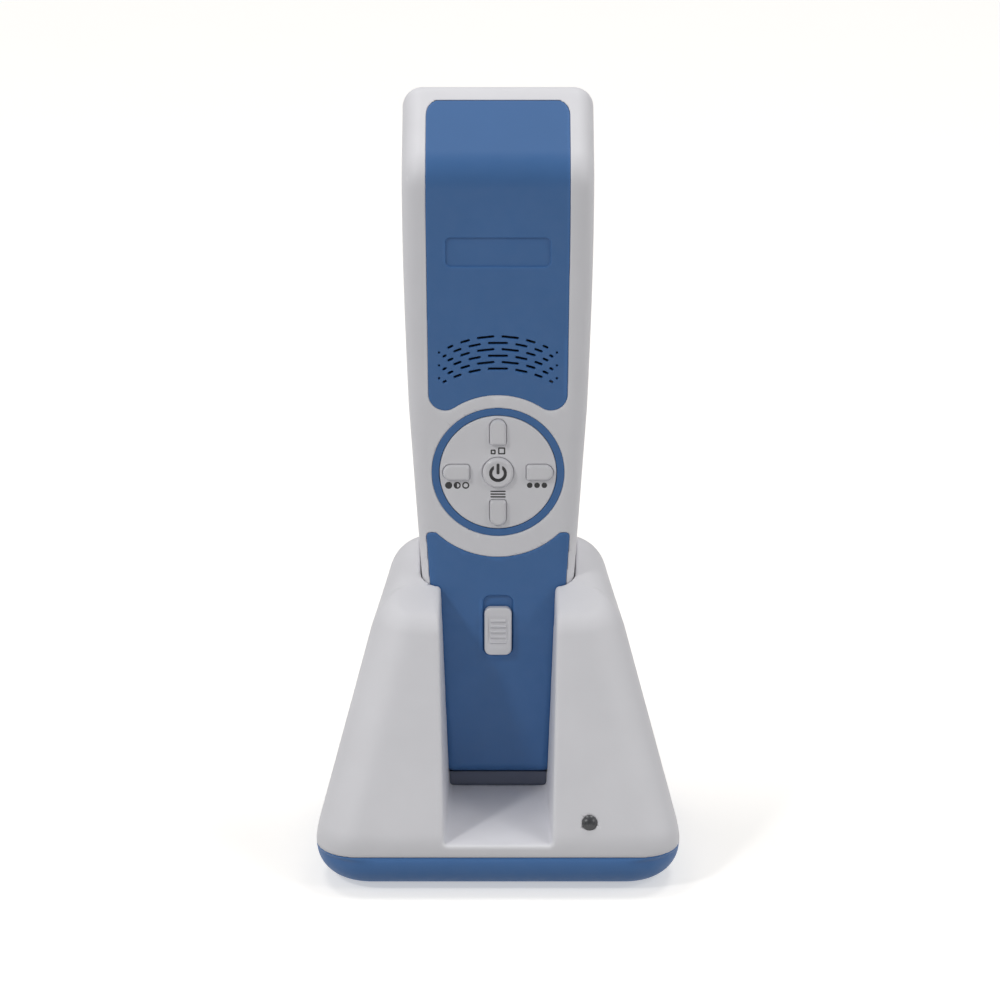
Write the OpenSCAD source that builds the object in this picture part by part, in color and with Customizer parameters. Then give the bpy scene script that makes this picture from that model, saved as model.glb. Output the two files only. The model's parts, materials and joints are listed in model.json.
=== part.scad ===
// Handheld low vision magnifier standing in its charging dock.
// The origin is the centre of the dock's footprint, on the surface it stands on.
// +X is to the right as a user faces the controls, +Y runs to the back, +Z is up.

/* [Dock] */
// Width of the dock's front, where its blue base meets the white shell
dock_w = 119; // [115:1:123]
// Depth of the dock at the same height
dock_d = 92; // [90:1:96]
// Height of the top face at its back edge
dock_h = 94.3; // [93:0.1:96]
// Height of the line between the blue base and the white shell
base_h = 12.8; // [12:0.1:13.2]
// Width of the front channel at the back end of its floor
channel_w = 32.2; // [31.6:0.2:34]

/* [Handset] */
// Length of the handset from its foot to the top of its head
handset_l = 226.6; // [222:0.2:230]
// Width of the head at its widest
head_w = 62.4; // [61:0.2:64]
// Width of the grip at its foot
foot_w = 41; // [39:0.5:42]
// Thickness of the grip, front to back
grip_t = 28; // [27:0.5:29]
// Thickness of the head, front to back
head_t = 48; // [46:1:52]
// Angle by which the docked handset leans back, in degrees
lean = 5; // [4:0.5:6]

/* [Controls] */
// Outer diameter of the blue ring round the buttons
ring_d = 43.4; // [42:0.2:45]
// Travel of each button
press = 0.8; // [0.4:0.1:1]
// Height by which a button stands proud of its plate
button_proud = 1.6; // [1.2:0.1:2]
// Travel of the slide switch
switch_travel = 3.3; // [2:0.1:3.6]

/* [Hidden] */

$fn = 64;
smooth = 32;          // facets of the balls inside a rounded hull
eps = 0.01;           // overlap that keeps a cut clean
gap = 0.15;           // gap between an inlaid piece and its recess
wall = 2.4;           // wall of every moulded shell

// Dock
corner_r = 13.5;      // plan radius of the dock's corners
back_w = 98;          // width of the dock's back, at the split line
foot_corner_r = 18;   // the base's corners grow rounder towards the table
foot_r = 10.1;        // radius that tucks the base in under the dock
pad_z = 0.8;          // the base clears the table by this much
skirt_h = 4;          // upright band of the white shell above the base
top_r = 12;           // rounding round the dock's top
top_front = -14.6;    // front of the rounding at the top
top_back = 43.4;      // back of the rounding at the top
top_drop = 10.3;      // the top face falls by this much towards the front
top_front_w = 84.6;   // width over the front of the top
top_back_w = 72.4;    // width over the back of the top
floor_z = 17;         // height of the channel's floor
channel_up = 0.041;   // each channel wall spreads by this much for each millimetre upwards
channel_out = 0.032;  // and for each millimetre towards the front
led_x = 29.8;         // place of the status lamp on the front face
led_z = 23.8;
led_r = 2.5;
inlet_z = 19;         // centre of the power inlet in the back wall
seat_front = 3.4;     // front face of the charging seat, where the channel's floor ends
seat_w = 32;
seat_d = 24;
seat_z = 12.2;        // underside of the charging seat
pin_x = 6;            // the spring pins stand this far either side of the middle
pin_y = 6;            // and this far behind the middle of the handset's foot
pin_r = 0.9;
pin_depth = 7.8;      // reach of a pin below the handset's foot plane
pin_proud = 1.1;      // height of a pin above the handset's foot plane
screw_hole_r = 1.7;   // clearance for the shank of a dock screw
screw_sink_r = 3.1;   // and for its head
dock_screw_places = [[-40, -27], [40, -27], [-32, 27], [32, 27]];

// Slope of the dock's front face: it touches the skirt's top edge and the rounding above
front_run = dock_d / 2 + top_front + top_r;
front_rise = dock_h - top_drop - top_r - base_h - skirt_h;
front_slope = atan(front_run / front_rise) - asin(top_r / norm([front_run, front_rise]));

// Place of the handset's foot, and the well that takes the grip
stand_y = 15.4;
stand_z = 20.8;
well_gap = 0.6;       // space round the grip inside its well

// Handset, in its own frame: foot at z = 0, controls facing -Y
front_y = -grip_t / 2;
head_y = front_y + head_t;
flare = 0.07;         // each side of the grip spreads by this much for each millimetre upwards
flare_top = 125;      // the flare eases into the head from this height
edge_r = 6.5;         // rounding of the handset's long edges
bend_z = 206.7;       // the face bends back into the bevel here
split_y = 2;          // plane between the front and rear shells
split_bend_z = 186;   // above this height the joint slants back behind the bevel
panel_t = 1.4;        // thickness of the blue panels
panel_w = 45.4;       // width of the upper blue panel above the ring
panel_flare = 0.7;    // each side of it is this much wider by the bevel
panel_top = 223.4;
panel_corner = [4, 2.2]; // rounding of its top corners, across and up
panel_bend_y = 11;    // the upper panel reaches back over the bevel to here
lobe_r = 5.4;         // round lobes at the upper panel's lower corners
lobe_z = 130.5;
speaker_z = 144.3;
label_z = 178.1;      // blank label field
label_w = 34;
label_h = 9.4;
vent_z = 149.9;       // top of the middle of the first vent row
vent_pitch = 2.15;
vent_r = 37;          // bending radius of each vent row
ring_z = 104.1;       // centre of the control ring
ring_w = 2.4;
key_offset = 13.7;    // centre of an arrow button from the ring's centre
key_l = 8.8;          // length and width of an arrow button
key_w = 5.4;
power_d = 10.2;       // diameter of the power button
plate_t = 2.2;        // thickness of the keypad plate
rim_w = 0.8;          // rim behind the plate that holds a button in
rim_t = 0.6;
rim_y = front_y + plate_t + 0.1;
mat_y = rim_y + rim_t + press + 0.5; // front of the silicone mat, clear of a pressed button
board_y = -6.6;       // front face of the control board
arc_r = 29;           // arc in the grip panel's top edge, about the ring's centre
horn_x = 21.6;        // inner end of each corner beside that arc
horn_drop = 20.7;     // and its distance below the ring's centre
horn_slope = 1.8;     // the corner falls outwards by this run
panel_inset = 2.7;    // white margin beside the grip panel
switch_z = 50;        // centre of the slide switch, at rest
switch_l = 16.4;
switch_w = 9;
window_z = 180;       // centre of the viewing window
window_w = 44;
window_h = 34;
hood_d = 9;           // depth of the viewing hood
hood_y = head_y - hood_d;
glide_z = 20.2;       // each glide strip lies this far from the window's centre
screw_places = [[12, 12.5, 24], [17.6, 18, 119]]; // x, end of its post, z

// Half width of the handset's outline at height z
neck_half = foot_w / 2 + flare_top * flare;
function half_w(z) = z < flare_top
    ? foot_w / 2 + z * flare
    : neck_half + (head_w / 2 - neck_half) * sin(min(90, (z - flare_top) * 1.2));

// A ball whose facets reach the full radius along X, Y and Z
module ball(r) {
    sphere(r / cos(180 / smooth), $fn = smooth);
}

// Centres of the balls that round the head's and the grip's side profile, as [y, z]
head_profile = [
    [front_y + edge_r, 100], [front_y + edge_r, 160], [front_y + edge_r, bend_z - 4],
    [15, handset_l - edge_r], [head_y - edge_r - 3, handset_l - edge_r - 4],
    [head_y - edge_r, 204], [head_y - edge_r, 158], [grip_t / 2 - edge_r, 104]
];
grip_profile = [
    [front_y + edge_r, edge_r], [front_y + edge_r, 112],
    [grip_t / 2 - edge_r, 112], [grip_t / 2 - edge_r, edge_r]
];

module in_handset() {
    translate([0, stand_y, stand_z]) rotate([-lean, 0, 0]) children();
}

// A flat shape drawn in X and Z, from y = y0 to y = y1
module upright(y0, y1) {
    translate([0, y1, 0]) rotate([90, 0, 0]) linear_extrude(y1 - y0) children();
}

// A flat shape drawn in Y and Z, spread over a width in X
module sideways(w) {
    translate([-w / 2, 0, 0]) rotate([90, 0, 90]) linear_extrude(w) children();
}

// A pin along Y
module y_rod(r, y0, y1) {
    translate([0, y0, 0]) rotate([-90, 0, 0]) cylinder(r = r, h = y1 - y0);
}

module rounded_rect(w, h, r) {
    x = w / 2 - r;
    y = h / 2 - r;
    square([w, 2 * y], center = true);
    square([2 * x, h], center = true);
    for (sx = [-1, 1], sy = [-1, 1]) translate([sx * x, sy * y]) circle(r);
}

module rounded_block(w, d, h, r) {
    linear_extrude(h) rounded_rect(w, d, r);
}

module balls(profile, grow) {
    for (p = profile, side = [-1, 1])
        translate([side * (half_w(p.y) - edge_r), p.x, p.y]) ball(edge_r + grow);
}

module head_solid(grow) {
    hull() balls(head_profile, grow);
}

module grip_solid(grow) {
    hull() balls(grip_profile, grow);
}

module handset_skin(depth) {
    difference() {
        union() {
            head_solid(0);
            grip_solid(0);
        }
        head_solid(-depth);
        grip_solid(-depth);
    }
}

// ---- Dock ----

// Lower corner of the blue base: a quarter circle turned about the corner's middle
module base_corner(inset) {
    r = foot_r - inset;
    rotate_extrude() intersection() {
        translate([foot_corner_r - foot_r, pad_z + foot_r]) {
            circle(r);
            translate([-foot_corner_r, -r]) square([foot_corner_r, r]);
        }
        square([foot_corner_r, pad_z + foot_r]);
    }
}

// Middles of the dock's four corners, in plan, for a corner radius
module at_corners(r) {
    for (sx = [-1, 1], w_y = [[dock_w, -1], [back_w, 1]])
        translate([sx * (w_y.x / 2 - r), w_y.y * (dock_d / 2 - r), 0]) children();
}

module base_solid(inset) {
    hull() {
        at_corners(foot_corner_r) base_corner(inset);
        at_corners(corner_r) translate([0, 0, base_h - 1]) cylinder(r = corner_r - inset, h = 1);
    }
}

module shell_solid(inset) {
    hull() {
        at_corners(corner_r) translate([0, 0, base_h]) cylinder(r = corner_r - inset, h = skirt_h);
        for (side = [-1, 1]) {
            translate([side * (top_front_w / 2 - top_r), top_front + top_r, dock_h - top_drop - top_r])
                ball(top_r - inset);
            translate([side * (top_back_w / 2 - top_r), top_back - top_r, dock_h - top_r])
                ball(top_r - inset);
        }
    }
}

// Tapered well that the grip drops into, in the handset's frame
module well(grow, depth) {
    r = edge_r + 0.5;
    hull() for (z = [-depth, 90], sx = [-1, 1], sy = [-1, 1])
        translate([sx * (half_w(max(z, 0)) + grow - r), sy * (grip_t / 2 + grow - r), z])
            cylinder(r = r, h = eps, $fn = smooth);
}

// Cross-section of the channel at a depth, drawn in X and Z
module channel_section(grow, y) {
    top = 120;
    half_floor = channel_w / 2 + grow - channel_out * (y - seat_front);
    half_top = half_floor + channel_up * (top - floor_z);
    polygon([
        [-half_floor, floor_z - grow], [half_floor, floor_z - grow], [half_top, top], [-half_top, top]
    ]);
}

// The front channel: it opens towards the user, and above the seat into the well
module channel(grow) {
    intersection() {
        hull() for (y = [-dock_d, stand_y]) upright(y, y + eps) channel_section(grow, y);
        union() {
            translate([-dock_w / 2, -dock_d - 1, 0]) cube([dock_w, dock_d + 1 + seat_front, 2 * dock_h]);
            in_handset() translate([-dock_w / 2, -30, -0.2 - grow]) cube([dock_w, 30, dock_h]);
        }
    }
}

module screw_posts(r, z0, z1) {
    for (p = dock_screw_places) translate([p.x, p.y, z0]) cylinder(r = r, h = z1 - z0);
}

// Outline of the non-slip pad under the base
module pad_outline(grow) {
    inset = foot_r + 1;
    hull() for (sx = [-1, 1], w_y = [[dock_w, -1], [back_w, 1]])
        translate([sx * (w_y.x / 2 - inset - 9), w_y.y * (dock_d / 2 - inset - 9)]) circle(9 + grow);
}

// Along the outward normal of the dock's front face at the lamp
module at_lamp() {
    y = -dock_d / 2 + (led_z - base_h - skirt_h) * tan(front_slope);
    translate([led_x, y, led_z]) rotate([-front_slope, 0, 0]) children();
}

module at_inlet() {
    translate([0, dock_d / 2, inlet_z]) children();
}

module dock_shell() {
    color("whitesmoke") difference() {
        union() {
            difference() {
                shell_solid(0);
                translate([0, 0, -eps]) shell_solid(wall);
            }
            intersection() {
                shell_solid(0);
                union() {
                    in_handset() well(wall, stand_z - floor_z + wall);
                    channel(wall);
                    screw_posts(4, base_h, dock_h);
                }
            }
        }
        in_handset() well(well_gap, 0.2);
        channel(0);
        seat_block(gap, 30);
        at_lamp() y_rod(led_r + gap, -6, 6);
        screw_posts(1.5, base_h - eps, 20);
        at_inlet() upright(-6, 2) rounded_rect(9.4, 3.8, 1.8);
        at_inlet() upright(-1.6, 2) rounded_rect(12.4, 6.4, 2.4);
    }
}

module dock_base() {
    color("steelblue") difference() {
        union() {
            difference() {
                base_solid(0);
                translate([0, 0, eps]) base_solid(wall);
            }
            screw_posts(4, pad_z + 0.4, base_h);
        }
        translate([0, 0, -1]) linear_extrude(pad_z + 0.4 + 1) pad_outline(0.2);
        screw_posts(screw_hole_r, 0, base_h + eps);
        screw_posts(screw_sink_r, 0, 4);
    }
}

module non_slip_pad() {
    color("dimgray") linear_extrude(pad_z + 0.4) pad_outline(0);
}

module dock_screws() {
    color("silver") for (p = dock_screw_places) translate(p) difference() {
        union() {
            translate([0, 0, 1.8]) cylinder(r = 2.8, h = 2.2);
            translate([0, 0, 3.5]) cylinder(r = 1.45, h = 15);
        }
        for (turn = [0, 90]) translate([0, 0, 2.1]) rotate([0, 0, turn]) cube([3.2, 0.6, 1], center = true);
    }
}

module ballast_plate() {
    color("gray") translate([0, 0, pad_z + wall + 0.5]) difference() {
        rounded_block(54, 62, 4, 6);
        for (side = [-1, 1]) translate([0, side * 24, -eps]) cylinder(r = 2, h = 5);
    }
}

module dock_board() {
    color("seagreen") translate([0, 16, 9]) difference() {
        rounded_block(54, 32, 1.6, 2);
        for (side = [-1, 1]) translate([side * 23, -12, -eps]) cylinder(r = 1.6, h = 2);
    }
}

module seat_block(grow, h) {
    translate([-seat_w / 2 - grow, seat_front - grow, seat_z - grow])
        cube([seat_w + 2 * grow, seat_d + 2 * grow, h]);
}

// Block under the handset's foot that carries the two spring pins
module charge_seat() {
    color("dimgray") difference() {
        seat_block(0, 16);
        in_handset() translate([-30, -30, -0.2]) cube(60);
        in_handset() for (side = [-1, 1])
            translate([side * pin_x, pin_y, -20]) cylinder(r = pin_r + 0.1, h = 30);
    }
}

module spring_pins() {
    color("gold") in_handset() for (side = [-1, 1]) translate([side * pin_x, pin_y, -pin_depth]) {
        cylinder(r = pin_r, h = pin_depth + pin_proud - pin_r);
        translate([0, 0, pin_depth + pin_proud - pin_r]) sphere(pin_r);
    }
}

module status_led() {
    color("dimgray") at_lamp() {
        y_rod(1.5, -0.4, 5);
        y_rod(2, 5, 6);
    }
}

// Smoked dome over the lamp
module led_lens() {
    color("black") at_lamp() difference() {
        union() {
            y_rod(led_r, -0.1, 3);
            intersection() {
                translate([0, 2.4, 0]) sphere(3.5);
                y_rod(led_r, -3, 0);
            }
        }
        y_rod(1.6, -0.6, 4);
    }
}

// Charger socket in the back wall
module power_inlet() {
    color("silver") at_inlet() difference() {
        upright(-8.8, -1) rounded_rect(9, 3.4, 1.6);
        upright(-7.6, 0) rounded_rect(8.2, 2.6, 1.25);
    }
}

// ---- Handset ----

// Outline of the upper blue panel, drawn in X and Z. Its lower edge swings down
// into a round lobe on each side of the control ring.
module upper_outline(grow) {
    lobe_x = panel_w / 2 - lobe_r;
    reach = norm([lobe_x, lobe_z - ring_z]);
    waist_x = lobe_x * (1 - lobe_r / reach);
    waist_z = lobe_z - (lobe_z - ring_z) * lobe_r / reach;
    shoulder = panel_w / 2 + panel_flare + grow;
    corner = panel_corner;
    rise = panel_top + grow - corner.y;
    difference() {
        union() {
            polygon([
                [-panel_w / 2 - grow, lobe_z], [panel_w / 2 + grow, lobe_z], [shoulder, 190],
                for (a = [0 : 15 : 90]) [shoulder + corner.x * (cos(a) - 1), rise + corner.y * sin(a)],
                for (a = [90 : 15 : 180]) [-shoulder + corner.x * (cos(a) + 1), rise + corner.y * sin(a)],
                [-shoulder, 190]
            ]);
            polygon([[-waist_x, waist_z], [waist_x, waist_z], [lobe_x, lobe_z], [-lobe_x, lobe_z]]);
            for (side = [-1, 1]) translate([side * lobe_x, lobe_z]) circle(lobe_r + grow);
        }
        translate([0, ring_z]) circle(reach - lobe_r - grow, $fn = 128);
    }
}

// Outline of the lower blue panel, drawn in X and Z
module grip_outline(grow) {
    foot_x = foot_w / 2 - panel_inset + grow;
    low = [horn_x + horn_slope + grow, ring_z - horn_drop - 2.3];
    high = [horn_x + grow, ring_z - horn_drop + grow];
    difference() {
        polygon([[-foot_x, -5], [foot_x, -5], low, high, [-high.x, high.y], [-low.x, low.y]]);
        translate([0, ring_z]) circle(arc_r - grow, $fn = 128);
    }
}

// The part of the skin, down to a depth, that lies inside an outline on the face
module skin_patch(depth, back) {
    difference() {
        intersection() {
            union() {
                head_solid(0);
                grip_solid(0);
            }
            upright(-40, back) children();
        }
        head_solid(-depth);
        grip_solid(-depth);
    }
}

// The recess that takes a panel
module patch_recess(depth) {
    difference() {
        children();
        head_solid(-depth);
        grip_solid(-depth);
    }
}

module vent_slots() {
    long_rows = [[4, 5.8], [10.7, 3.3], [15.5, 2.1], [19.2, 0.8]];
    short_rows = [[0, 6.6], [7.6, 4.1], [13.2, 2.9], [17.4, 1.5]];
    for (row = [0 : 5], slot = row % 2 == 0 ? long_rows : short_rows, side = slot.x > 0 ? [-1, 1] : [1]) {
        turn = asin(slot.x / vent_r) * side;
        translate([slot.x * side, front_y, vent_z - row * vent_pitch - vent_r * (1 - cos(turn))])
            rotate([0, turn, 0]) cube([slot.y, 8, 0.65], center = true);
    }
}

module upper_panel() {
    color("steelblue") in_handset() difference() {
        skin_patch(panel_t, panel_bend_y) upper_outline(0);
        vent_slots();
        translate([0, 0, label_z]) upright(front_y - 1, front_y + 0.4) rounded_rect(label_w, label_h, 1.6);
    }
}

// Track of the slide switch: its shallow recess, or the slot for its stem
module switch_track(w, l, y0, y1) {
    translate([0, 0, switch_z + switch_travel / 2]) upright(y0, y1) rounded_rect(w, l + switch_travel, 1);
}

module grip_panel() {
    color("steelblue") in_handset() difference() {
        skin_patch(panel_t, front_y + 5.5) grip_outline(0);
        switch_track(switch_w + 0.5, switch_l + 0.5, front_y - 1, front_y + 0.9);
        switch_track(3.4, 5, front_y - 1, front_y + 5);
    }
}

module control_ring() {
    color("steelblue") in_handset() translate([0, 0, ring_z]) difference() {
        y_rod(ring_d / 2, front_y, front_y + 1.2);
        y_rod(ring_d / 2 - ring_w, front_y - 1, front_y + 2);
    }
}

// Where an arrow button goes, turned about the ring's centre. At 0 degrees it lies above.
module at_key(turn) {
    translate([0, 0, ring_z]) rotate([0, turn, 0]) translate([0, 0, key_offset]) children();
}

// Outline of an arrow button: round at its outer end, squarer at its inner end
module key_outline(grow) {
    r = key_w / 2;
    hull() {
        translate([0, key_l / 2 - r]) circle(r + grow);
        for (side = [-1, 1]) translate([side * (r - 1), 1 - key_l / 2]) circle(1 + grow);
    }
}

module keypad_plate() {
    color("whitesmoke") in_handset() difference() {
        translate([0, 0, ring_z]) y_rod(ring_d / 2 - ring_w - gap, front_y, front_y + plate_t);
        for (turn = [0 : 90 : 270]) at_key(turn) upright(front_y - 1, front_y + 5) key_outline(0.2);
        translate([0, 0, ring_z]) y_rod(power_d / 2 + 0.2, front_y - 1, front_y + 5);
    }
}

module arrow_button(turn) {
    color("white") in_handset() at_key(turn) {
        upright(front_y - button_proud, rim_y) key_outline(0);
        upright(rim_y, rim_y + rim_t) key_outline(rim_w);
    }
}

module up_button() { arrow_button(0); }
module right_button() { arrow_button(90); }
module down_button() { arrow_button(180); }
module left_button() { arrow_button(270); }

module power_button() {
    color("white") in_handset() translate([0, 0, ring_z]) difference() {
        union() {
            y_rod(power_d / 2, front_y - button_proud, rim_y);
            y_rod(power_d / 2 + rim_w, rim_y, rim_y + rim_t);
        }
        translate([0, front_y - button_proud - 4.3, 0]) sphere(5);
    }
}

module button_mat() {
    color("gainsboro") in_handset() translate([0, 0, ring_z]) difference() {
        y_rod(ring_d / 2 - ring_w - 0.7, mat_y, mat_y + 0.9);
        for (turn = [45 : 90 : 315]) rotate([0, turn, 0]) translate([0, 0, 14]) y_rod(1.6, -20, 0);
    }
}

module control_board() {
    color("seagreen") in_handset() difference() {
        translate([0, 0, 79]) upright(board_y, board_y + 1.6) rounded_rect(27.6, 96, 2);
        for (z = [34, 124], side = [-1, 1])
            translate([side * 11, 0, z]) y_rod(1.2, board_y - 1, board_y + 3);
    }
}

// One push switch behind each button
module key_switches() {
    color("silver") in_handset() for (turn = [0 : 90 : 360]) {
        offset_z = turn < 360 ? key_offset : 0;
        translate([0, 0, ring_z]) rotate([0, turn, 0]) translate([0, 0, offset_z]) {
            translate([-2.2, board_y - 1.4, -2.2]) cube([4.4, 1.4, 4.4]);
            y_rod(1.1, mat_y + 1, board_y - 1.4 + eps);
        }
    }
}

module switch_knob() {
    top = front_y - 2;
    color("white") in_handset() {
        difference() {
            translate([0, 0, switch_z]) upright(top, front_y + 0.7) rounded_rect(switch_w, switch_l, 2.2);
            translate([0, top - 32.3, switch_z]) rotate([0, 90, 0]) cylinder(r = 33, h = 6, center = true);
        }
        for (rib = [-2 : 2])
            translate([0, top + 0.35, switch_z + rib * 1.85]) cube([4.9, 1.1, 0.62], center = true);
        translate([-1.3, front_y + 0.7 - eps, switch_z - 2.3]) cube([2.6, 3.4, 4.6]);
    }
}

module switch_body() {
    color("silver") in_handset() difference() {
        translate([-4.5, board_y - 3, switch_z - 6.5]) cube([9, 3, 16.3]);
        translate([-1.7, board_y - 4, switch_z - 3]) cube([3.4, 2.4, 9.3]);
    }
}

module speaker() {
    color("dimgray") in_handset() translate([0, 0, speaker_z]) {
        y_rod(11, front_y + wall + 0.3, front_y + wall + 3.3);
        y_rod(6.5, front_y + wall + 3.3 - eps, front_y + wall + 5.5);
    }
}

module battery() {
    color("silver") in_handset() translate([0, 0, 64]) upright(-2.5, 6) rounded_rect(31, 50, 2);
}

module main_board() {
    color("seagreen") in_handset() translate([0, 0, 146]) upright(8, 9.6) rounded_rect(42, 28, 2);
}

module camera_board() {
    color("seagreen") in_handset() translate([0, 0, window_z]) upright(-7.6, -6) rounded_rect(30, 24, 2);
}

module lens_barrel() {
    color("black") in_handset() translate([0, 0, window_z]) difference() {
        union() {
            y_rod(8, -6, -2);
            y_rod(6, -2 - eps, 6);
            y_rod(7.2, 3, 6);
        }
        y_rod(4.6, -5, 7);
    }
}

module lens_glass() {
    color("lightblue") in_handset() translate([0, 0, window_z]) intersection() {
        y_rod(4.55, 1, 6);
        translate([0, -6, 0]) sphere(11);
    }
}

// Plate that carries the camera, the light boards and the main board's top edge
module camera_bracket() {
    color("dimgray") in_handset() difference() {
        union() {
            translate([0, 0, window_z]) upright(-1, 1) rounded_rect(50, 38, 3);
            for (sx = [-1, 1], sz = [-1, 1])
                translate([sx * 18, 0, window_z + sz * 16]) y_rod(2.2, front_y + wall, 13.8);
        }
        translate([0, 0, window_z]) y_rod(6.1, -3, 3);
        for (sx = [-1, 1], sz = [-1, 1])
            translate([sx * 18, 0, window_z + sz * 16]) y_rod(0.9, 5, 15);
    }
}

module light_boards() {
    color("whitesmoke") in_handset() for (side = [-1, 1])
        translate([side * 18, 0, window_z]) upright(13.8, 15.2) rounded_rect(11, 36, 1);
}

module light_leds() {
    color("lemonchiffon") in_handset() for (side = [-1, 1], row = [-1.5 : 1.5])
        translate([side * 18, 15.8, window_z + row * 7]) cube([3.2, 1.2, 3.2], center = true);
}

module viewing_window() {
    color("lightblue", 0.4) in_handset() translate([0, 0, window_z])
        upright(hood_y - 1.5, hood_y) rounded_rect(window_w + 2.4, window_h + 2.4, 4);
}

// Places of the two strips on the back of the head, above and below the window
module at_glides(y0, y1) {
    for (side = [-1, 1])
        translate([0, 0, window_z + side * glide_z]) upright(head_y + y0, head_y + y1) children();
}

// Low-friction strips that let the head glide over a page
module glide_strips() {
    color("dimgray") in_handset() at_glides(-0.5, 0.7) rounded_rect(40, 3.4, 1.6);
}

module charge_contacts() {
    color("gold") in_handset() for (side = [-1, 1]) translate([side * pin_x, pin_y, 1.2]) {
        cylinder(r = 2.5, h = 0.9);
        cylinder(r = 1, h = 5);
    }
}

module at_screws() {
    for (p = screw_places, side = [-1, 1]) translate([side * p.x, 0, p.z]) children();
}

module shell_screws() {
    color("silver") in_handset() at_screws() difference() {
        union() {
            y_rod(1.1, -9, 9.1);
            y_rod(2.3, 9, 10.8);
        }
        for (turn = [0, 90])
            rotate([0, turn, 0]) translate([0, 10.6, 0]) cube([2.8, 1.2, 0.5], center = true);
    }
}

// The space in front of the joint between the two shells, which slants back behind the bevel
module front_half() {
    sideways(100) polygon([
        [-50, -10], [split_y, -10], [split_y, split_bend_z], [split_y + 26, 240], [-50, 240]
    ]);
}

module front_shell() {
    color("whitesmoke") in_handset() difference() {
        union() {
            intersection() {
                handset_skin(wall);
                front_half();
            }
            at_screws() y_rod(2.6, front_y + wall - 0.5, split_y);
        }
        at_screws() y_rod(1.15, -10, split_y + 1);
        patch_recess(panel_t + 0.1) {
            upright(-40, panel_bend_y) upper_outline(gap);
            upright(-40, front_y + 5.5 + gap) grip_outline(gap);
        }
        translate([0, 0, ring_z]) {
            y_rod(ring_d / 2 + gap, front_y - 1, front_y + 1.3);
            y_rod(ring_d / 2 - ring_w + gap, front_y - 1, front_y + 5);
        }
        translate([0, 0, speaker_z]) y_rod(10.4, front_y - 1, front_y + 5);
        switch_track(3.8, 5.4, front_y - 1, front_y + 5);
    }
}

module rear_shell() {
    hood_w = window_w + 2 * wall;
    hood_h = window_h + 2 * wall;
    color("whitesmoke") in_handset() difference() {
        union() {
            difference() {
                handset_skin(wall);
                front_half();
            }
            translate([0, 0, window_z]) upright(hood_y, head_y - 0.5) rounded_rect(hood_w, hood_h, 5);
            for (p = screw_places, side = [-1, 1]) translate([side * p.x, 0, p.z]) y_rod(3.6, split_y, p.y);
        }
        translate([0, 0, window_z]) upright(hood_y - 1, head_y + 1) rounded_rect(window_w, window_h, 3);
        at_glides(-0.5, 2) rounded_rect(40.2, 3.6, 1.7);
        at_screws() {
            y_rod(1.3, split_y - 1, 12);
            y_rod(2.6, 9, 30);
        }
        for (side = [-1, 1]) translate([side * pin_x, pin_y, -1]) cylinder(r = 2.6, h = 5);
    }
}

dock_shell();
dock_base();
non_slip_pad();
dock_screws();
ballast_plate();
dock_board();
charge_seat();
spring_pins();
status_led();
led_lens();
power_inlet();
front_shell();
rear_shell();
upper_panel();
grip_panel();
control_ring();
keypad_plate();
power_button();
up_button();
down_button();
left_button();
right_button();
button_mat();
control_board();
key_switches();
switch_knob();
switch_body();
speaker();
battery();
main_board();
camera_board();
lens_barrel();
lens_glass();
camera_bracket();
light_boards();
light_leds();
viewing_window();
glide_strips();
charge_contacts();
shell_screws();
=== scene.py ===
"""A handheld low vision magnifier standing in its charging dock.

Each visible shell and button is shaped as a distance field in millimetres, meshed at a fine step,
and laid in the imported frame. Nothing here moves a CAD part.
"""
import json
import math

import bpy
import numpy as np
import openvdb
from mathutils import Matrix, Vector


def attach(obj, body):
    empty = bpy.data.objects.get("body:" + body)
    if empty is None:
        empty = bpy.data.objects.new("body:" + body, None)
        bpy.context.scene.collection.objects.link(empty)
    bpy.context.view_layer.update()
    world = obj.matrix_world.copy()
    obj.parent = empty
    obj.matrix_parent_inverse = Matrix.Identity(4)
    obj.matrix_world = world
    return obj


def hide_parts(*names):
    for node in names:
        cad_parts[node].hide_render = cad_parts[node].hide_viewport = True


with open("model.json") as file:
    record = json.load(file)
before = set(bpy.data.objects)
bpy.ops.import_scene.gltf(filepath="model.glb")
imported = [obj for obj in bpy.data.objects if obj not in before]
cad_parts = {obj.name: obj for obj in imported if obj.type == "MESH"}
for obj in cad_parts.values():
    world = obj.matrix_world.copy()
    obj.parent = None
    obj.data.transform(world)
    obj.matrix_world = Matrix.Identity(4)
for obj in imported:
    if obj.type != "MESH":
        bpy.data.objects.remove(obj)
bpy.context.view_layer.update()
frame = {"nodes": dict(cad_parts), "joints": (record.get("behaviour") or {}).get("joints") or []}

MM = 0.001
COARSER = 1.0

# ---- Frames ----------------------------------------------------------------

LIFT_AXIS = Vector(next(j["axis"] for j in frame["joints"] if j["name"] == "handset_lift"))
LEAN = math.asin(LIFT_AXIS.y)
DOCK = Matrix.Scale(1 / MM, 4).inverted()


def node_points(node, place):
    """Vertices of a CAD node in millimetres, in the frame that place lays down."""
    back = np.array(place.inverted())
    co = np.array([v.co for v in frame["nodes"][node].data.vertices])
    return co @ back[:3, :3].T + back[:3, 3]


def node_box(node, place):
    """(lowest, highest) corner of a CAD node in that frame, in millimetres."""
    co = node_points(node, place)
    return co.min(0), co.max(0)


def handset_frame():
    """Millimetres, x across, y from the control face to the back, z from the foot to the head."""
    turned = Matrix.Rotation(-LEAN, 4, "X") @ DOCK
    low = node_box("front_shell", turned)[0]
    return turned @ Matrix.Translation((0, low[1], low[2]))


HANDSET = handset_frame()

# ---- Distance fields -------------------------------------------------------
# A field holds the distance to a surface at each point of a box of space: below zero inside.

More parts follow.
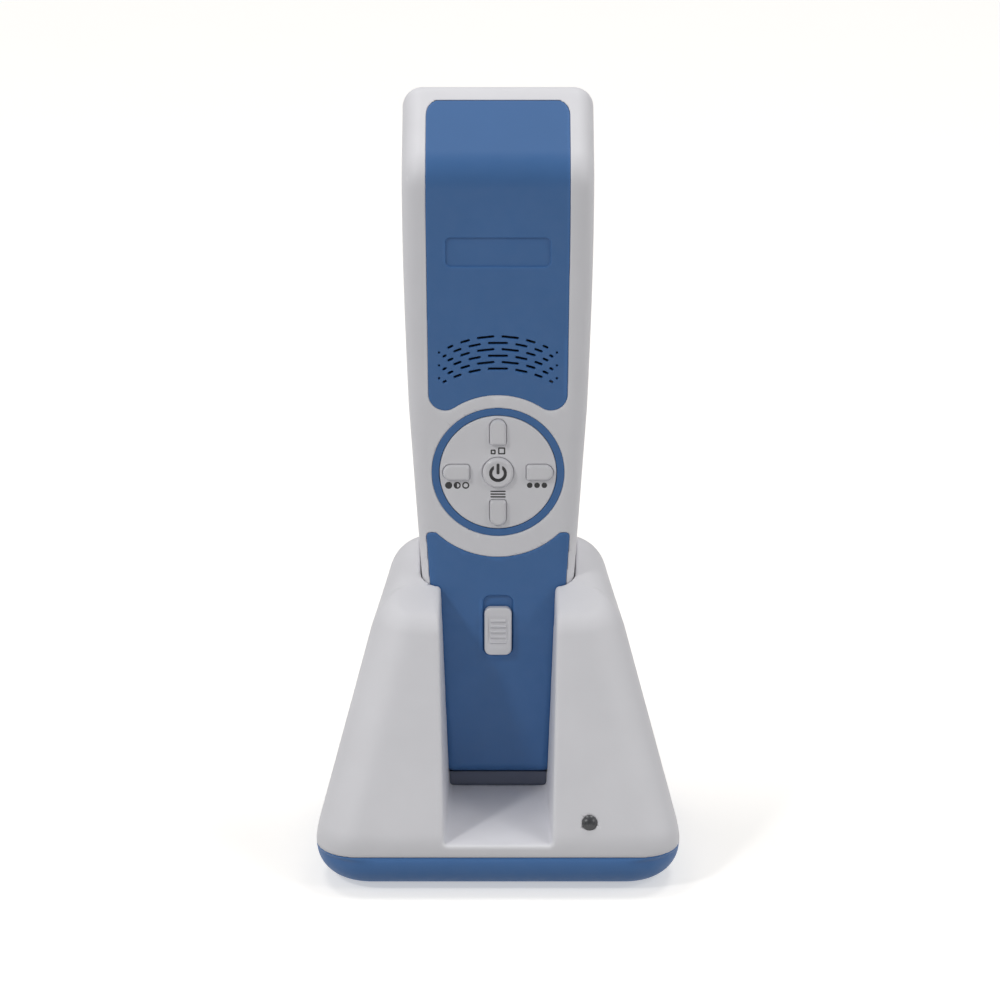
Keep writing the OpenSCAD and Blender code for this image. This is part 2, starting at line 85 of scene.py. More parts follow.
MARGIN_STEPS = 2.5         # a space reaches this many steps past what it holds
NEARLY_PARALLEL = 0.98     # cosines of slopes are kept below this
FACING_AWAY = -0.7         # below this cosine two surfaces have no edge to round
TINY = 1e-9                # keeps a division away from nought
FAR_STEPS = 4              # a grid's value outside its samples


class Space:
    """A box of sample points. Its x, y and z arrays broadcast against each other."""

    def __init__(self, low, high, step):
        self.step = step * COARSER
        margin = MARGIN_STEPS * self.step
        self.low = np.array(low, float) - margin
        counts = np.ceil((np.array(high, float) + margin - self.low) / self.step).astype(int) + 1
        axes = [(self.low[i] + self.step * np.arange(counts[i])).astype(np.float32) for i in range(3)]
        self.shape = tuple(counts)
        self.x, self.y, self.z = np.meshgrid(*axes, indexing="ij", sparse=True)

    def slope(self, field):
        """The field's three partial derivatives; nought along an axis that it doesn't vary on."""
        return [np.gradient(field, self.step, axis=i) if field.shape[i] > 1 else 0.0 for i in range(3)]

    def meet(self, a, b, r=0.0):
        """What is inside both a and b, with the edge where they meet rounded to radius r.

        c is the cosine between the two slopes. Surfaces that face away from each other, as the
        two sides of a sheet do, have no edge to round.
        """
        if r == 0:
            return np.maximum(a, b)
        c = sum(p * q for p, q in zip(self.slope(a), self.slope(b)))
        c = np.clip(c, -NEARLY_PARALLEL, NEARLY_PARALLEL)
        u = a + r
        v = b + r
        edge = np.sqrt(np.maximum(u * u + v * v - 2 * c * u * v, 0) / (1 - c * c))
        rounded = (u > c * v) & (v > c * u) & (c > FACING_AWAY)
        return np.where(rounded, edge, np.maximum(u, v)) - r

    def join(self, a, b, r=0.0):
        """What is inside either, with the corner between them filled to radius r."""
        return -self.meet(-a, -b, r)

    def cut(self, a, b, r=0.0):
        """What is inside a and outside b, with the new edge rounded to radius r."""
        return self.meet(a, -b, r)


def plane(y, z, through, normal):
    """Distance past a plane that holds the X direction. through and normal are (y, z) pairs."""
    length = math.hypot(*normal)
    return (y - through[0]) * (normal[0] / length) + (z - through[1]) * (normal[1] / length)


def rect(x, z, w, h, r=0.0):
    """Rounded rectangle, w by h, about the origin."""
    u = np.abs(x) - (w / 2 - r)
    v = np.abs(z) - (h / 2 - r)
    return np.minimum(np.maximum(u, v), 0) + np.hypot(np.maximum(u, 0), np.maximum(v, 0)) - r


def disc(x, z, r):
    return np.hypot(x, z) - r


def segment(x, z, start, end):
    """Distance to a line between two points."""
    run_x, run_z = end[0] - start[0], end[1] - start[1]
    t = (x - start[0]) * run_x + (z - start[1]) * run_z
    t = np.clip(t / np.maximum(run_x * run_x + run_z * run_z, TINY), 0, 1)
    return np.hypot(x - start[0] - t * run_x, z - start[1] - t * run_z)


def capsule(x, z, start, end, r):
    """A line between two points, r thick either side."""
    return segment(x, z, start, end) - r


def slab(t, low, high):
    """Between two values of one coordinate."""
    return np.maximum(low - t, t - high)


def polygon(x, z, corners):
    """Closed outline through its corners, in order. Corners may themselves vary over the space."""
    best = None
    inside = False
    for start, end in zip(corners, corners[1:] + corners[:1]):
        near = segment(x, z, start, end)
        best = near if best is None else np.minimum(best, near)
        fall = start[1] - end[1]
        if np.any(fall != 0):
            edge_x = start[0] + (end[0] - start[0]) * (start[1] - z) / np.where(fall == 0, 1, fall)
            inside = inside ^ (((start[1] > z) != (end[1] > z)) & (x < edge_x))
    return np.where(inside, -best, best)


# ---- Meshing ---------------------------------------------------------------

def sample(field, at):
    """The field at points given in grid steps, by trilinear interpolation."""
    top = np.array(field.shape) - 2
    base = np.clip(np.floor(at).astype(int), 0, top)
    f = at - base
    total = 0.0
    for dx in (0, 1):
        for dy in (0, 1):
            for dz in (0, 1):
                weight = (
                    (f[:, 0] if dx else 1 - f[:, 0])
                    * (f[:, 1] if dy else 1 - f[:, 1])
                    * (f[:, 2] if dz else 1 - f[:, 2])
                )
                total = total + weight * field[base[:, 0] + dx, base[:, 1] + dy, base[:, 2] + dz]
    return total


def surface_normals(field, at, reach=0.6):
    """Outward unit normals from the field's own slope, sampled reach steps either side."""
    normals = np.zeros_like(at)
    for i in range(3):
        shift = np.zeros(3)
        shift[i] = reach
        normals[:, i] = sample(field, at + shift) - sample(field, at - shift)
    return normals / np.maximum(np.linalg.norm(normals, axis=1, keepdims=True), TINY)


def skin(name, space, field, place, flatness=0.004):
    """Mesh object on the field's zero surface. Flat stretches get larger faces."""
    field = np.array(np.broadcast_to(field, space.shape), dtype=np.float32, order="C")
    grid = openvdb.FloatGrid(float(space.step * FAR_STEPS))
    grid.copyFromArray(field)
    points, triangles, quads = grid.convertToPolygons(isovalue=0.0, adaptivity=flatness)
    normals = surface_normals(field, points.astype(float))
    co = points * space.step + space.low
    corners = np.concatenate([triangles.ravel(), quads.ravel()])
    sizes = np.concatenate([np.full(len(triangles), 3), np.full(len(quads), 4)])
    starts = np.concatenate([[0], np.cumsum(sizes)[:-1]])
    mesh = bpy.data.meshes.new(name)
    mesh.vertices.add(len(co))
    mesh.vertices.foreach_set("co", co.astype(np.float32).ravel())
    mesh.loops.add(len(corners))
    mesh.loops.foreach_set("vertex_index", corners.astype(np.int32))
    mesh.polygons.add(len(sizes))
    mesh.polygons.foreach_set("loop_start", starts.astype(np.int32))
    mesh.update(calc_edges=True)
    mesh.validate()
    mesh.transform(place)
    turn = np.array(place.to_3x3().normalized())
    mesh.shade_smooth()
    mesh.normals_split_custom_set_from_vertices((normals @ turn.T).tolist())
    piece = bpy.data.objects.new(name, mesh)
    bpy.context.scene.collection.objects.link(piece)
    print(f"{name}: {len(sizes)} faces")
    return piece


def finish_piece(piece, body, slot, material, *nodes):
    """Gives a new piece its finish, and lets it stand for CAD nodes on their body."""
    piece.data.materials.append(material)
    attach(piece, body)
    if nodes:
        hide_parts(*nodes)
    return piece


# ---- Materials -------------------------------------------------------------

def shader(name):
    material = bpy.data.materials.new(name)
    material.use_nodes = True
    tree = material.node_tree
    principled = tree.nodes["Principled BSDF"]
    return material, tree, principled


def node(tree, kind, inputs=None, **settings):
    made = tree.nodes.new(kind)
    for key, value in settings.items():
        setattr(made, key, value)
    for key, value in (inputs or {}).items():
        if isinstance(value, bpy.types.NodeSocket):
            tree.links.new(value, made.inputs[key])
        else:
            made.inputs[key].default_value = value
    return made


def grain(tree, size_mm, detail=2.0, stretch=(1, 1, 1)):
    """Noise whose features are about size_mm across."""
    where = node(tree, "ShaderNodeTexCoord").outputs["Object"]
    scaled = node(tree, "ShaderNodeMapping", {"Vector": where, "Scale": stretch}).outputs["Vector"]
    return node(
        tree, "ShaderNodeTexNoise", {"Vector": scaled, "Scale": 1 / (size_mm * MM), "Detail": detail}
    ).outputs["Fac"]


def spread(tree, value, low, high, start=0.3, end=0.7):
    """Maps a noise onto a range."""
    return node(
        tree, "ShaderNodeMapRange",
        {"Value": value, "From Min": start, "From Max": end, "To Min": low, "To Max": high},
    ).outputs["Result"]


# Sockets of a colour mix, which can only be told apart by number
FACTOR, FIRST, SECOND, MIXED = 0, 6, 7, 2


def shades(tree, value, dark, light):
    """Mixes two colours by a value. The first may be another node's output."""
    first = dark if isinstance(dark, bpy.types.NodeSocket) else (*dark, 1)
    sockets = {FACTOR: value, FIRST: first, SECOND: (*light, 1)}
    return node(tree, "ShaderNodeMix", sockets, data_type="RGBA").outputs[MIXED]


def scaled(colour, factor):
    return tuple(min(1.0, c * factor) for c in colour)


def moulded(name, colour, rough, texture_mm=0.32, depth_mm=0.012, edge_highlight_gain=1.06, specular=0.5):
    """Spark-textured moulded plastic, slightly uneven, with a painted highlight that lightens its sharper
    edges.
    """
    material, tree, principled = shader(name)
    broad = grain(tree, 22, detail=3)
    fine = grain(tree, texture_mm, detail=2.5)
    base = shades(tree, spread(tree, broad, 0, 1), scaled(colour, 0.975), scaled(colour, 1.02))
    # Painted highlight: sharper edges, found from the mesh's pointiness, are made lighter in colour to
    # stand for light catching them.
    edge = node(
        tree, "ShaderNodeMapRange",
        {"Value": node(tree, "ShaderNodeNewGeometry").outputs["Pointiness"],
         "From Min": 0.51, "From Max": 0.55, "To Min": 0.0, "To Max": 0.7},
    ).outputs["Result"]
    painted_edge_highlight = shades(tree, edge, base, scaled(colour, edge_highlight_gain))
    tree.links.new(painted_edge_highlight, principled.inputs["Base Color"])
    patches = spread(tree, grain(tree, 4, detail=4), rough - 0.05, rough + 0.05)
    tree.links.new(patches, principled.inputs["Roughness"])
    bump = node(tree, "ShaderNodeBump", {"Height": fine, "Distance": depth_mm * MM, "Strength": 1.0})
    tree.links.new(bump.outputs["Normal"], principled.inputs["Normal"])
    principled.inputs["Specular IOR Level"].default_value = specular
    return material


def metal(name, colour, rough, brushed=(1, 1, 30)):
    """Bare metal with a fine directional grain."""
    material, tree, principled = shader(name)
    lines = grain(tree, 2.0, detail=3, stretch=brushed)
    tree.links.new(shades(tree, lines, scaled(colour, 0.9), colour), principled.inputs["Base Color"])
    tree.links.new(spread(tree, lines, rough - 0.06, rough + 0.08), principled.inputs["Roughness"])
    bump = node(tree, "ShaderNodeBump", {"Height": lines, "Distance": 0.004 * MM, "Strength": 0.6})
    tree.links.new(bump.outputs["Normal"], principled.inputs["Normal"])
    principled.inputs["Metallic"].default_value = 1.0
    return material


def clear(name, colour, rough, ior=1.49):
    """Clear or tinted hard plastic or glass, with faint haze."""
    material, tree, principled = shader(name)
    haze = grain(tree, 3, detail=3)
    tree.links.new(shades(tree, haze, scaled(colour, 0.96), colour), principled.inputs["Base Color"])
    tree.links.new(spread(tree, haze, rough, rough + 0.05), principled.inputs["Roughness"])
    principled.inputs["Transmission Weight"].default_value = 1.0
    principled.inputs["IOR"].default_value = ior
    return material


def smoked(name):
    """Dark glossy resin."""
    material, tree, principled = shader(name)
    haze = grain(tree, 1.2, detail=3)
    resin = shades(tree, haze, (0.035, 0.037, 0.042), (0.06, 0.062, 0.07))
    tree.links.new(resin, principled.inputs["Base Color"])
    tree.links.new(spread(tree, haze, 0.3, 0.38), principled.inputs["Roughness"])
    principled.inputs["Coat Weight"].default_value = 0.4
    principled.inputs["Coat Roughness"].default_value = 0.3
    return material


def circuit(name, colour):
    """Solder-masked board: faint traces under a glossy mask."""
    material, tree, principled = shader(name)
    where = node(tree, "ShaderNodeTexCoord").outputs["Object"]
    upright = node(tree, "ShaderNodeMapping", {"Vector": where, "Rotation": (math.pi / 2, 0, 0)})
    traces = node(
        tree, "ShaderNodeTexBrick",
        {"Vector": upright.outputs["Vector"], "Scale": 1 / (4 * MM), "Mortar Size": 0.03,
         "Color1": (0, 0, 0, 1), "Color2": (0, 0, 0, 1), "Mortar": (1, 1, 1, 1)},
    ).outputs["Color"]
    tree.links.new(shades(tree, traces, colour, scaled(colour, 1.7)), principled.inputs["Base Color"])
    tree.links.new(spread(tree, grain(tree, 2), 0.28, 0.4), principled.inputs["Roughness"])
    bump = node(tree, "ShaderNodeBump", {"Height": traces, "Distance": 0.03 * MM, "Strength": 0.7})
    tree.links.new(bump.outputs["Normal"], principled.inputs["Normal"])
    return material


WHITE = (0.79, 0.785, 0.815)
BLUE = (0.053, 0.153, 0.370)

white_plastic = moulded("white_plastic", WHITE, 0.50)
dock_plastic = moulded("dock_plastic", WHITE, 0.52, texture_mm=0.4)
# The buttons, the blue inlays and the blue base get a stronger painted highlight on their edges.
button_plastic = moulded(
    "button_plastic", scaled(WHITE, 0.93), 0.22, texture_mm=0.5, depth_mm=0.003, edge_highlight_gain=1.25
)
blue_plastic = moulded(
    "blue_plastic", BLUE, 0.46, texture_mm=0.35, depth_mm=0.016, edge_highlight_gain=1.25, specular=0.4
)
base_plastic = moulded(
    "base_plastic", scaled(BLUE, 1.15), 0.5, texture_mm=0.4, depth_mm=0.014, edge_highlight_gain=1.2
)
black_print = moulded("black_print", (0.012, 0.012, 0.014), 0.45, texture_mm=0.2, depth_mm=0.004)
dark_plastic = moulded("dark_plastic", (0.03, 0.03, 0.033), 0.5)
# Painted shade: the charge seat is coloured dark, with a painted blue reflection of the grip, to stand
# for the shadow under the handset's foot.
seat_shade_plastic = moulded("seat_shade_plastic", (0.105, 0.12, 0.17), 0.5)
slip_plastic = moulded("slip_plastic", (0.06, 0.062, 0.066), 0.4)
rubber = moulded("rubber", (0.035, 0.036, 0.038), 0.75, texture_mm=0.6, depth_mm=0.03)
silicone = moulded("silicone", (0.55, 0.56, 0.57), 0.55)
lamp_resin = smoked("lamp_resin")
window_clear = clear("window_clear", (0.97, 0.98, 0.99), 0.02)
optic_glass = clear("optic_glass", (0.96, 0.98, 1.0), 0.0, ior=1.52)
bright_steel = metal("bright_steel", (0.62, 0.62, 0.63), 0.3)
dull_steel = metal("dull_steel", (0.45, 0.45, 0.46), 0.45)
gold_plate = metal("gold_plate", (0.95, 0.72, 0.32), 0.24)
green_board = circuit("green_board", (0.01, 0.09, 0.035))
white_board = circuit("white_board", (0.5, 0.5, 0.49))
phosphor = moulded("phosphor", (0.85, 0.72, 0.22), 0.35, texture_mm=0.3, depth_mm=0.004)
lamp_body = moulded("lamp_body", (0.3, 0.3, 0.31), 0.3)
battery_wrap = moulded("battery_wrap", (0.30, 0.32, 0.36), 0.3, texture_mm=2.0, depth_mm=0.02)

# ---- Camera ----------------------------------------------------------------

VIEW_ELEVATION = math.radians(21)
VIEW_DISTANCE = 1.6
AIM = Vector((0.00065, 0.0054, 0.118))     # in the middle of the picture
LENS = 175.9
SENSOR = 36.0


def place_camera():
    back = Vector((0, -math.cos(VIEW_ELEVATION), math.sin(VIEW_ELEVATION)))
    data = bpy.data.cameras.new("camera")
    data.lens = LENS
    data.sensor_width = SENSOR
    camera = bpy.data.objects.new("camera", data)
    bpy.context.scene.collection.objects.link(camera)
    camera.location = AIM + back * VIEW_DISTANCE
    camera.rotation_mode = "QUATERNION"
    camera.rotation_quaternion = (-back).to_track_quat("-Z", "Y")
    bpy.context.scene.camera = camera


place_camera()

# ---- Handset form ----------------------------------------------------------

WALL = 2.4
EDGE_R = 6.5               # rounding along the handset's sides
FOOT_R = 3.0               # rounding round its foot
GRIP_DEPTH = 28.0
SEAM_DEPTH = 16.0          # depth of the joint between the two shells
SEAM_TURN = 186.0          # above this height the joint slants back behind the bevel
SEAM_RUN, SEAM_RISE = 26, 54
GROOVE = 0.12              # half the gap at a joint
JOINT_EDGE = 0.4           # rounding of the shells' edges along the joint
CRISP = 0.15               # rounding of an inlay's edge
INLAY_GAP = 0.02           # gap between an inlay and the side of its recess,
RECESS_SLACK = 0.1         # and behind it
PANEL_DEPTH = 1.4

FRONT_HIGH = node_box("front_shell", HANDSET)[1]
REAR_HIGH = node_box("rear_shell", HANDSET)[1]
HEAD_HALF = REAR_HIGH[0]
HEAD_DEPTH = REAR_HIGH[1]
LENGTH = max(FRONT_HIGH[2], REAR_HIGH[2])

FOOT_HALF = 20.5
GRIP_FLARE = 0.07          # each side spreads by this much for each millimetre of height
FLARE_TOP = 125.0          # the flare eases off into the head from here
FLARE_EASE = 1.2           # over a quarter of a turn, at this many degrees to the millimetre

# Slanted faces of the head, each EDGE_R outside a line given by a (y, z) point and a normal
BEVEL = ((29, 220.1), (-17.4, 22.5))
CROWN = ((38.5, 216.1), (4, 9.5))
BROW = ((41.5, 204), (12.1, 3))
NECK = ((21.5, 104), (54, -20))
BEND_R = 15                # roundings where the profile turns: below the bevel,
BACK_R = 12                # round the head's back,
NAPE_R = 14                # and where the neck leaves the grip


def half_width(z):
    """Half the handset's width at a height."""
    neck = FOOT_HALF + GRIP_FLARE * FLARE_TOP
    swell = np.sin(np.radians(np.clip((z - FLARE_TOP) * FLARE_EASE, 0, 90)))
    return np.where(z < FLARE_TOP, FOOT_HALF + GRIP_FLARE * z, neck + (HEAD_HALF - neck) * swell)


def handset_form(s):
    """The whole handset's outer surface."""
    y, z = s.y, s.z
    front = -y + 0 * z
    foot = -z + 0 * y
    head_back = y - HEAD_DEPTH + 0 * z
    grip_back = y - GRIP_DEPTH + 0 * z
    bevel, crown, brow, neck = (plane(y, z, *face) - EDGE_R for face in (BEVEL, CROWN, BROW, NECK))
    back = s.meet(neck, s.meet(head_back, brow, BACK_R), BACK_R)
    back = s.join(grip_back, back, NAPE_R)
    profile = s.meet(front, bevel, BEND_R)
    profile = s.meet(profile, crown, EDGE_R)
    profile = s.meet(profile, back, EDGE_R)
    profile = s.meet(profile, foot, FOOT_R)
    sides = np.abs(s.x) - half_width(z)
    return s.meet(profile, sides, EDGE_R)


def seam_depth(z):
    """Depth of the joint between front and rear shells at a height."""
    return SEAM_DEPTH + np.maximum(z - SEAM_TURN, 0) * SEAM_RUN / SEAM_RISE


# ---- Outlines on the control face, in x and z ------------------------------

RING_LOW, RING_HIGH = node_box("control_ring", HANDSET)
RING_R = (RING_HIGH[0] - RING_LOW[0]) / 2
RING_Z = (RING_LOW[2] + RING_HIGH[2]) / 2
RING_W = 2.4
UPPER_LOW, UPPER_HIGH = node_box("upper_panel", HANDSET)
GRIP_HIGH = node_box("grip_panel", HANDSET)[1]
LOBE_R = 5.4
LOBE_Z = 130.5
UPPER_HALF = 22.7          # half width of the upper panel at its lobes
UPPER_SWELL = 0.7          # how much wider it is by the bevel,
SWELL_RISE = 60            # and the height over which it swells
CORNER_R = 4.0
GRIP_MARGIN = 2.7          # white margin beside the grip panel
HORN_DROP = 20.7           # the grip panel's top corners lie this far below the ring's middle
HORN_R = 1.6
DIP_R = 29                 # arc of the dip between them
DIP_EDGE_R = 0.8


def upper_outline(s):
    """The upper panel: round lobes either side of an arch that is concentric with the ring."""
    x, z = np.abs(s.x), s.z
    swell = UPPER_SWELL * np.clip((z - LOBE_Z) / SWELL_RISE, 0, 1)
    body = s.meet(x - UPPER_HALF - swell, z - UPPER_HIGH[2] + 0 * x, CORNER_R)
    body = np.maximum(body, LOBE_Z - z)
    lobe_x = UPPER_HALF - LOBE_R
    reach = math.hypot(lobe_x, LOBE_Z - RING_Z)
    arch_r = reach - LOBE_R
    waist = (lobe_x * arch_r / reach, RING_Z + (LOBE_Z - RING_Z) * arch_r / reach)
    above = LOBE_Z + 1
    apron = polygon(x, z, [(-1, waist[1]), waist, (lobe_x, LOBE_Z), (lobe_x, above), (-1, above)])
    body = np.minimum(body, np.minimum(apron, disc(x - lobe_x, z - LOBE_Z, LOBE_R)))
    return s.meet(body, arch_r - np.hypot(x, z - RING_Z), 0)


def grip_outline(s):
    """The lower panel: its top dips in an arc that is concentric with the ring."""
    x, z = np.abs(s.x), s.z
    sides = (x - (half_width(z) - GRIP_MARGIN)) / math.hypot(1, GRIP_FLARE)
    body = s.meet(sides, z - (RING_Z - HORN_DROP) + 0 * x, HORN_R)
    arc = DIP_R - np.hypot(x, z - RING_Z)
    return s.meet(body, arc, DIP_EDGE_R)


# ---- Handset shells --------------------------------------------------------

GRILLE_Z = 143.5           # middle of the opening behind the speaker's vents
GRILLE_SIZE = (42, 18, 3)  # its width, height and corner radius
UPPER_REACH = 30           # greatest depth of the recess for the upper panel,
GRIP_REACH = 6             # for the grip panel,
RING_REACH = 8             # and for the ring and the opening behind the vents

WINDOW_LOW, WINDOW_HIGH = node_box("viewing_window", HANDSET)
WINDOW_Z = (WINDOW_LOW[2] + WINDOW_HIGH[2]) / 2
HOOD_EDGE = 0.8            # rounding of the hood's mouth
HOOD_R = 3                 # corner radii inside and outside the hood
COLLAR_R = 5
COLLAR_SHORT = 0.4         # the collar stops this short of the head's back,
HOOD_UNDERCUT = 1          # and is cut free to this far below the window's outer face

GLIDE_LOW, GLIDE_HIGH = node_box("glide_strips", HANDSET)
GLIDE_H = 3.4
GLIDE_MIDDLES = (GLIDE_LOW[2] + GLIDE_H / 2, GLIDE_HIGH[2] - GLIDE_H / 2)
GLIDE_SLOT = (40.2, 3.6, 1.7)
GLIDE_SLOT_DEPTH = 0.5

SCREW_ROWS_SPLIT = 70      # height between the lower and upper shell screws
SCREW_SINK_R = 2.7
SCREW_HEAD = 1.8
SCREW_POST_R = 3.8
SCREW_POST = 12            # reach of a post past its screw's middle
PILOT_R = 1.3
PILOT_SPAN = (10, 25)      # depths that the hole for a screw's thread runs between
CONTACT_X = 6
CONTACT_HOLE_R = 2.6
CONTACT_HOLE_TOP = 4


def shells():
    """The two white shells, hollow, with the joint between them as a fine groove."""
    s = Space((-HEAD_HALF, 0, 0), (HEAD_HALF, HEAD_DEPTH, LENGTH), 0.42)
    form = handset_form(s)
    hollow = s.cut(form, form + WALL, 0)
    seam = s.y - seam_depth(s.z)
    front_shell(s, form, s.meet(hollow, seam + GROOVE, JOINT_EDGE))
    rear_shell(s, form, s.meet(hollow, -seam + GROOVE, JOINT_EDGE))


def front_shell(s, form, front):
    """Front shell, recessed for the blue inlays and the ring, and open behind the vents."""
    floor = -(form + PANEL_DEPTH + RECESS_SLACK)
    upper = upper_outline(s) - INLAY_GAP
    grip = grip_outline(s) - INLAY_GAP
    ring_seat = disc(s.x, s.z - RING_Z, RING_R + INLAY_GAP)
    grille = rect(s.x, s.z - GRILLE_Z, *GRILLE_SIZE)
    front = s.cut(front, np.maximum(np.maximum(upper, floor), s.y - UPPER_REACH), CRISP)
    front = s.cut(front, np.maximum(np.maximum(grip, floor), s.y - GRIP_REACH), CRISP)
    front = s.cut(front, np.maximum(ring_seat, s.y - RING_REACH), CRISP)
    front = s.cut(front, np.maximum(grille, s.y - RING_REACH), 0)
    piece = skin("front_case", s, front, HANDSET)
    finish_piece(piece, "handset", "white_shell", white_plastic, "front_shell")


def with_hood(s, form, rear):
    """Adds the viewing hood's collar, and opens it above the window."""
    hood_w = WINDOW_HIGH[0] - WINDOW_LOW[0] - WALL
    hood_h = WINDOW_HIGH[2] - WINDOW_LOW[2] - WALL
    outer = rect(s.x, s.z - WINDOW_Z, hood_w + 2 * WALL, hood_h + 2 * WALL, COLLAR_R)
    collar = np.maximum(outer, slab(s.y, WINDOW_HIGH[1], HEAD_DEPTH - COLLAR_SHORT))
    rear = s.join(rear, np.maximum(collar, form), 0)
    inner = rect(s.x, s.z - WINDOW_Z, hood_w, hood_h, HOOD_R)
    return s.cut(rear, np.maximum(inner, WINDOW_HIGH[1] - HOOD_UNDERCUT - s.y), HOOD_EDGE)


def shell_screw_rows():
    """(lowest, highest) corner of each shell screw."""
    screws = node_points("shell_screws", HANDSET)
    for side in (-1, 1):
        for upper_row in (False, True):
            row = screws[(screws[:, 0] * side > 0) & ((screws[:, 2] > SCREW_ROWS_SPLIT) == upper_row)]
            yield row.min(0), row.max(0)


def rear_shell(s, form, rear):
    """Rear shell: hood, slots for the glide strips, screw posts and holes for the contacts."""
    rear = with_hood(s, form, rear)
    for z in GLIDE_MIDDLES:
        slot = rect(s.x, s.z - z, *GLIDE_SLOT)
        rear = s.cut(rear, np.maximum(slot, HEAD_DEPTH - GLIDE_SLOT_DEPTH - s.y), 0.3)
    for low, high in shell_screw_rows():
        centre = (low + high) / 2
        x, z = s.x - centre[0], s.z - centre[2]
        post = np.maximum(np.maximum(disc(x, z, SCREW_POST_R), form), SEAM_DEPTH - s.y)
        rear = s.join(rear, np.maximum(post, s.y - (centre[1] + SCREW_POST)), 0)
        sink = np.maximum(disc(x, z, SCREW_SINK_R), high[1] - SCREW_HEAD - s.y)
        rear = s.cut(rear, sink, 0.4)
        rear = s.cut(rear, np.maximum(disc(x, z, PILOT_R), slab(s.y, *PILOT_SPAN)), 0)
    contact_low, contact_high = node_box("charge_contacts", HANDSET)
    contact_y = (contact_low[1] + contact_high[1]) / 2
    for side in (-1, 1):
        hole = disc(s.x - side * CONTACT_X, s.y - contact_y, CONTACT_HOLE_R)
        rear = s.cut(rear, np.maximum(hole, s.z - CONTACT_HOLE_TOP), 0.3)
    piece = skin("rear_case", s, rear, HANDSET)
    finish_piece(piece, "handset", "white_shell", white_plastic, "rear_shell")


def window():
    """Clear window at the bottom of the hood."""
    s = Space(WINDOW_LOW, WINDOW_HIGH, 0.3)
    size = WINDOW_HIGH - WINDOW_LOW
    outline = rect(s.x, s.z - WINDOW_Z, size[0], size[2], 4)
    pane = s.meet(outline, slab(s.y, WINDOW_LOW[1], WINDOW_HIGH[1] - 0.02), 0.35)
    piece = skin("clear_window", s, pane, HANDSET)
    finish_piece(piece, "handset", "clear_window", window_clear, "viewing_window")


def glides():
    """Two crowned strips that run over the page."""
    s = Space(GLIDE_LOW, GLIDE_HIGH, 0.25)
    width = GLIDE_HIGH[0] - GLIDE_LOW[0]
    strips = [rect(s.x, s.z - z, width, GLIDE_H, 1.6) for z in GLIDE_MIDDLES]
    bar = s.meet(np.minimum(*strips), slab(s.y, GLIDE_LOW[1], GLIDE_HIGH[1]), 0.6)
    piece = skin("glides", s, bar, HANDSET)
    finish_piece(piece, "handset", "glide_strip", slip_plastic, "glide_strips")


# ---- Blue inlays -----------------------------------------------------------

VENT_PITCH = 2.15
VENT_R = 37.0
VENT_TOP = 149.9
VENT_W = 0.75
LONG_ROW = [(4.0, 5.8), (10.7, 3.3), (15.5, 2.1), (19.2, 0.8)]      # (centre, length) either side
SHORT_ROW = [(0.0, 6.6), (7.6, 4.1), (13.2, 2.9), (17.4, 1.5)]
LABEL_Z = 178.1
LABEL_SIZE = (34.0, 9.4, 1.6)      # width, height and corner radius
LABEL_DEPTH = 0.7

KNOB_LOW, KNOB_HIGH = node_box("switch_knob", HANDSET)
KNOB_Z = (KNOB_LOW[2] + KNOB_HIGH[2]) / 2
KNOB_W = KNOB_HIGH[0] - KNOB_LOW[0]
KNOB_L = KNOB_HIGH[2] - KNOB_LOW[2]
KNOB_TRAVEL = next(j["range_m"][1] for j in frame["joints"] if j["name"] == "switch_slide") / MM
TRACK_GAP = 0.7            # by how much the switch's recess is wider than its knob
TRACK_DEPTH = 0.95
SLOT_W, SLOT_L = 3.4, 5    # slot for the knob's stem, before its travel is added


def vents(s):
    """Six curved rows of slots, staggered like brickwork."""
    x = np.abs(s.x)
    slots = []
    for row in range(6):
        for centre, length in SHORT_ROW if row % 2 else LONG_ROW:
            turn = math.asin(centre / VENT_R)
            drop = VENT_R * (1 - math.cos(turn))
            along = np.array([math.cos(turn), -math.sin(turn)]) * (length - VENT_W) / 2
            middle = np.array([centre, VENT_TOP - row * VENT_PITCH - drop])
            slots.append(capsule(x, s.z, middle - along, middle + along, VENT_W / 2))
    return np.minimum.reduce(slots)


def inlay(s, outline):
    """A skin of the handset's surface inside an outline, as thick as a panel."""
    form = handset_form(s)
    panel = s.meet(form, outline, CRISP)
    return s.meet(panel, -(form + PANEL_DEPTH), 0)


def upper_panel():
    """Blue inlay of the head, with the speaker's vents and a shallow blank label field."""
    half = UPPER_HALF + 1
    s = Space((-half, 0, UPPER_LOW[2]), (half, UPPER_HIGH[1], UPPER_HIGH[2]), 0.28)
    panel = inlay(s, upper_outline(s))
    label = rect(s.x, s.z - LABEL_Z, *LABEL_SIZE)
    panel = s.cut(panel, np.maximum(label, s.y - LABEL_DEPTH), 0.3)
    panel = s.cut(panel, vents(s) + 0 * s.y, 0.12)
    piece = skin("head_inlay", s, panel, HANDSET)
    finish_piece(piece, "handset", "blue_panel", blue_plastic, "upper_panel")


def grip_inlay():
    """Blue inlay of the grip, with the slide switch's recess."""
    half = GRIP_HIGH[0]
    s = Space((-half, 0, 0), (half, GRIP_HIGH[1], GRIP_HIGH[2]), 0.3)
    panel = np.maximum(inlay(s, grip_outline(s)), s.y - GRIP_HIGH[1])
    z = s.z - KNOB_Z - KNOB_TRAVEL / 2
    track = rect(s.x, z, KNOB_W + TRACK_GAP, KNOB_L + KNOB_TRAVEL + TRACK_GAP, 2.4)
    panel = s.cut(panel, np.maximum(track, s.y - TRACK_DEPTH), 0.3)
    slot = rect(s.x, z, SLOT_W, SLOT_L + KNOB_TRAVEL, 1)
    panel = s.cut(panel, slot + 0 * s.y, 0.1)
    piece = skin("grip_inlay", s, panel, HANDSET)
    finish_piece(piece, "handset", "blue_panel", blue_plastic, "grip_panel")


# ---- Controls --------------------------------------------------------------

